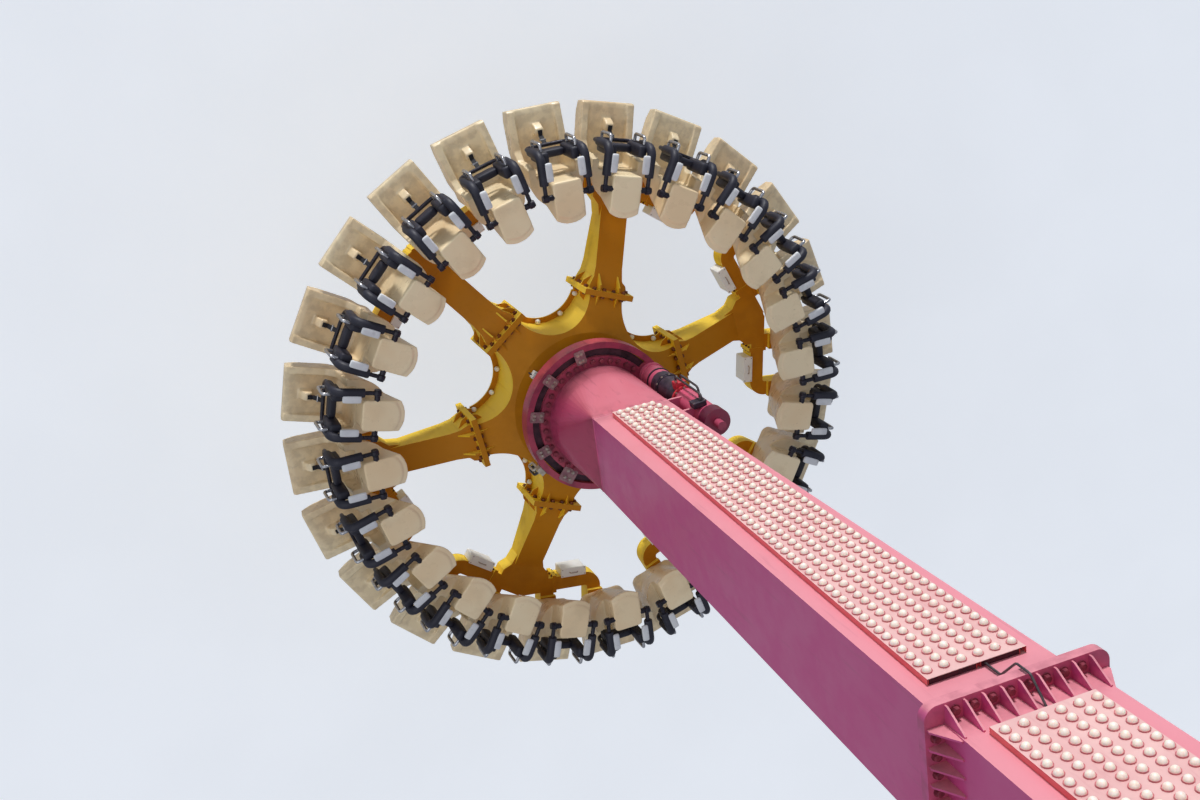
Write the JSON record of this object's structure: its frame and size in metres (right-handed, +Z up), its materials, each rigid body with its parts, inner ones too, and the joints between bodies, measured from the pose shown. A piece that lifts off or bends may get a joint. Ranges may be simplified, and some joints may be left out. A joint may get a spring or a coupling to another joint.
{
  "type": "pendulum ride arm and gondola",
  "caption": "Bolted box-section swing arm of a fairground pendulum ride, with lamp panels, a slewing hub, a spoked gondola ring and outward-facing seats with lifting restraints.",
  "frame": {"origin": "centre of the upper face of the arm's bolted top flange", "axes": "+Z up along the arm, away from the gondola; +Y out of the arm face that carries the lamp panels; +X on the side of the gondola drive"},
  "size_m": [6.38, 6.38, 12.165],
  "materials": {
    "arm_paint": "semi-gloss paint",
    "rim_paint": "semi-gloss paint",
    "gondola_paint": "semi-gloss paint",
    "dark_steel": "oiled",
    "seat_shell": "moulded, satin",
    "restraint_pad": "soft-touch",
    "cover": "satin",
    "lamp": "translucent cap",
    "zinc_bolt": "zinc plated"
  },
  "bodies": {
    "arm": {"arm_top_flange": "arm_paint", "arm_upper_tube": "arm_paint", "arm_upper_joint": "arm_paint", "arm_lower_joint": "arm_paint", "arm_lower_tube": "arm_paint", "hub_transition": "arm_paint", "hub_flange": "arm_paint", "hub_rim": "rim_paint", "outer_race": "dark_steel", "lamp_panel_upper": "arm_paint", "lamp_panel_lower": "arm_paint", "drive_gearbox": "dark_steel", "drive_motor": "arm_paint", "drive_bracket": "arm_paint"},
    "gondola": {"inner_race": "dark_steel", "hub_star": "gondola_paint", "spoke_1": "gondola_paint", "spoke_2": "gondola_paint", "spoke_3": "gondola_paint", "spoke_4": "gondola_paint", "spoke_5": "gondola_paint", "spoke_6": "gondola_paint", "seat_beam_1": "gondola_paint", "seat_beam_2": "gondola_paint", "seat_beam_3": "gondola_paint", "seat_beam_4": "gondola_paint", "seat_beam_5": "gondola_paint", "seat_beam_6": "gondola_paint", "beam_covers": "cover", "seat_row_1": "seat_shell", "seat_row_2": "seat_shell", "seat_row_3": "seat_shell", "seat_row_4": "seat_shell", "seat_row_5": "seat_shell", "seat_row_6": "seat_shell"},
    "restraint_01": {"restraint_01": "restraint_pad"},
    "restraint_02": {"restraint_02": "restraint_pad"},
    "restraint_03": {"restraint_03": "restraint_pad"},
    "restraint_04": {"restraint_04": "restraint_pad"},
    "restraint_05": {"restraint_05": "restraint_pad"},
    "restraint_06": {"restraint_06": "restraint_pad"},
    "restraint_07": {"restraint_07": "restraint_pad"},
    "restraint_08": {"restraint_08": "restraint_pad"},
    "restraint_09": {"restraint_09": "restraint_pad"},
    "restraint_10": {"restraint_10": "restraint_pad"},
    "restraint_11": {"restraint_11": "restraint_pad"},
    "restraint_12": {"restraint_12": "restraint_pad"},
    "restraint_13": {"restraint_13": "restraint_pad"},
    "restraint_14": {"restraint_14": "restraint_pad"},
    "restraint_15": {"restraint_15": "restraint_pad"},
    "restraint_16": {"restraint_16": "restraint_pad"},
    "restraint_17": {"restraint_17": "restraint_pad"},
    "restraint_18": {"restraint_18": "restraint_pad"},
    "restraint_19": {"restraint_19": "restraint_pad"},
    "restraint_20": {"restraint_20": "restraint_pad"},
    "restraint_21": {"restraint_21": "restraint_pad"},
    "restraint_22": {"restraint_22": "restraint_pad"},
    "restraint_23": {"restraint_23": "restraint_pad"},
    "restraint_24": {"restraint_24": "restraint_pad"}
  },
  "joints": [
    {"name": "gondola_spin", "type": "hinge", "parent": "arm", "child": "gondola", "pos_m": [0, 0, -11.18], "axis": [0, 0, 1], "continuous": true},
    {"name": "restraint_01_lift", "type": "hinge", "parent": "gondola", "child": "restraint_01", "pos_m": [2.4, 0, -11.05], "axis": [0, -1, 0], "range_deg": [0, 75]},
    {"name": "restraint_02_lift", "type": "hinge", "parent": "gondola", "child": "restraint_02", "pos_m": [2.31822, 0.62117, -11.05], "axis": [0.2588, -0.9659, 0], "range_deg": [0, 75]},
    {"name": "restraint_03_lift", "type": "hinge", "parent": "gondola", "child": "restraint_03", "pos_m": [2.07846, 1.2, -11.05], "axis": [0.5, -0.866, 0], "range_deg": [0, 75]},
    {"name": "restraint_04_lift", "type": "hinge", "parent": "gondola", "child": "restraint_04", "pos_m": [1.69706, 1.69706, -11.05], "axis": [0.7071, -0.7071, 0], "range_deg": [0, 75]},
    {"name": "restraint_05_lift", "type": "hinge", "parent": "gondola", "child": "restraint_05", "pos_m": [1.2, 2.07846, -11.05], "axis": [0.866, -0.5, 0], "range_deg": [0, 75]},
    {"name": "restraint_06_lift", "type": "hinge", "parent": "gondola", "child": "restraint_06", "pos_m": [0.62117, 2.31822, -11.05], "axis": [0.9659, -0.2588, 0], "range_deg": [0, 75]},
    {"name": "restraint_07_lift", "type": "hinge", "parent": "gondola", "child": "restraint_07", "pos_m": [0, 2.4, -11.05], "axis": [1, 0, 0], "range_deg": [0, 75]},
    {"name": "restraint_08_lift", "type": "hinge", "parent": "gondola", "child": "restraint_08", "pos_m": [-0.62117, 2.31822, -11.05], "axis": [0.9659, 0.2588, 0], "range_deg": [0, 75]},
    {"name": "restraint_09_lift", "type": "hinge", "parent": "gondola", "child": "restraint_09", "pos_m": [-1.2, 2.07846, -11.05], "axis": [0.866, 0.5, 0], "range_deg": [0, 75]},
    {"name": "restraint_10_lift", "type": "hinge", "parent": "gondola", "child": "restraint_10", "pos_m": [-1.69706, 1.69706, -11.05], "axis": [0.7071, 0.7071, 0], "range_deg": [0, 75]},
    {"name": "restraint_11_lift", "type": "hinge", "parent": "gondola", "child": "restraint_11", "pos_m": [-2.07846, 1.2, -11.05], "axis": [0.5, 0.866, 0], "range_deg": [0, 75]},
    {"name": "restraint_12_lift", "type": "hinge", "parent": "gondola", "child": "restraint_12", "pos_m": [-2.31822, 0.62117, -11.05], "axis": [0.2588, 0.9659, 0], "range_deg": [0, 75]},
    {"name": "restraint_13_lift", "type": "hinge", "parent": "gondola", "child": "restraint_13", "pos_m": [-2.4, 0, -11.05], "axis": [0, 1, 0], "range_deg": [0, 75]},
    {"name": "restraint_14_lift", "type": "hinge", "parent": "gondola", "child": "restraint_14", "pos_m": [-2.31822, -0.62117, -11.05], "axis": [-0.2588, 0.9659, 0], "range_deg": [0, 75]},
    {"name": "restraint_15_lift", "type": "hinge", "parent": "gondola", "child": "restraint_15", "pos_m": [-2.07846, -1.2, -11.05], "axis": [-0.5, 0.866, 0], "range_deg": [0, 75]},
    {"name": "restraint_16_lift", "type": "hinge", "parent": "gondola", "child": "restraint_16", "pos_m": [-1.69706, -1.69706, -11.05], "axis": [-0.7071, 0.7071, 0], "range_deg": [0, 75]},
    {"name": "restraint_17_lift", "type": "hinge", "parent": "gondola", "child": "restraint_17", "pos_m": [-1.2, -2.07846, -11.05], "axis": [-0.866, 0.5, 0], "range_deg": [0, 75]},
    {"name": "restraint_18_lift", "type": "hinge", "parent": "gondola", "child": "restraint_18", "pos_m": [-0.62117, -2.31822, -11.05], "axis": [-0.9659, 0.2588, 0], "range_deg": [0, 75]},
    {"name": "restraint_19_lift", "type": "hinge", "parent": "gondola", "child": "restraint_19", "pos_m": [0, -2.4, -11.05], "axis": [-1, 0, 0], "range_deg": [0, 75]},
    {"name": "restraint_20_lift", "type": "hinge", "parent": "gondola", "child": "restraint_20", "pos_m": [0.62117, -2.31822, -11.05], "axis": [-0.9659, -0.2588, 0], "range_deg": [0, 75]},
    {"name": "restraint_21_lift", "type": "hinge", "parent": "gondola", "child": "restraint_21", "pos_m": [1.2, -2.07846, -11.05], "axis": [-0.866, -0.5, 0], "range_deg": [0, 75]},
    {"name": "restraint_22_lift", "type": "hinge", "parent": "gondola", "child": "restraint_22", "pos_m": [1.69706, -1.69706, -11.05], "axis": [-0.7071, -0.7071, 0], "range_deg": [0, 75]},
    {"name": "restraint_23_lift", "type": "hinge", "parent": "gondola", "child": "restraint_23", "pos_m": [2.07846, -1.2, -11.05], "axis": [-0.5, -0.866, 0], "range_deg": [0, 75]},
    {"name": "restraint_24_lift", "type": "hinge", "parent": "gondola", "child": "restraint_24", "pos_m": [2.31822, -0.62117, -11.05], "axis": [-0.2588, -0.9659, 0], "range_deg": [0, 75]}
  ]
}
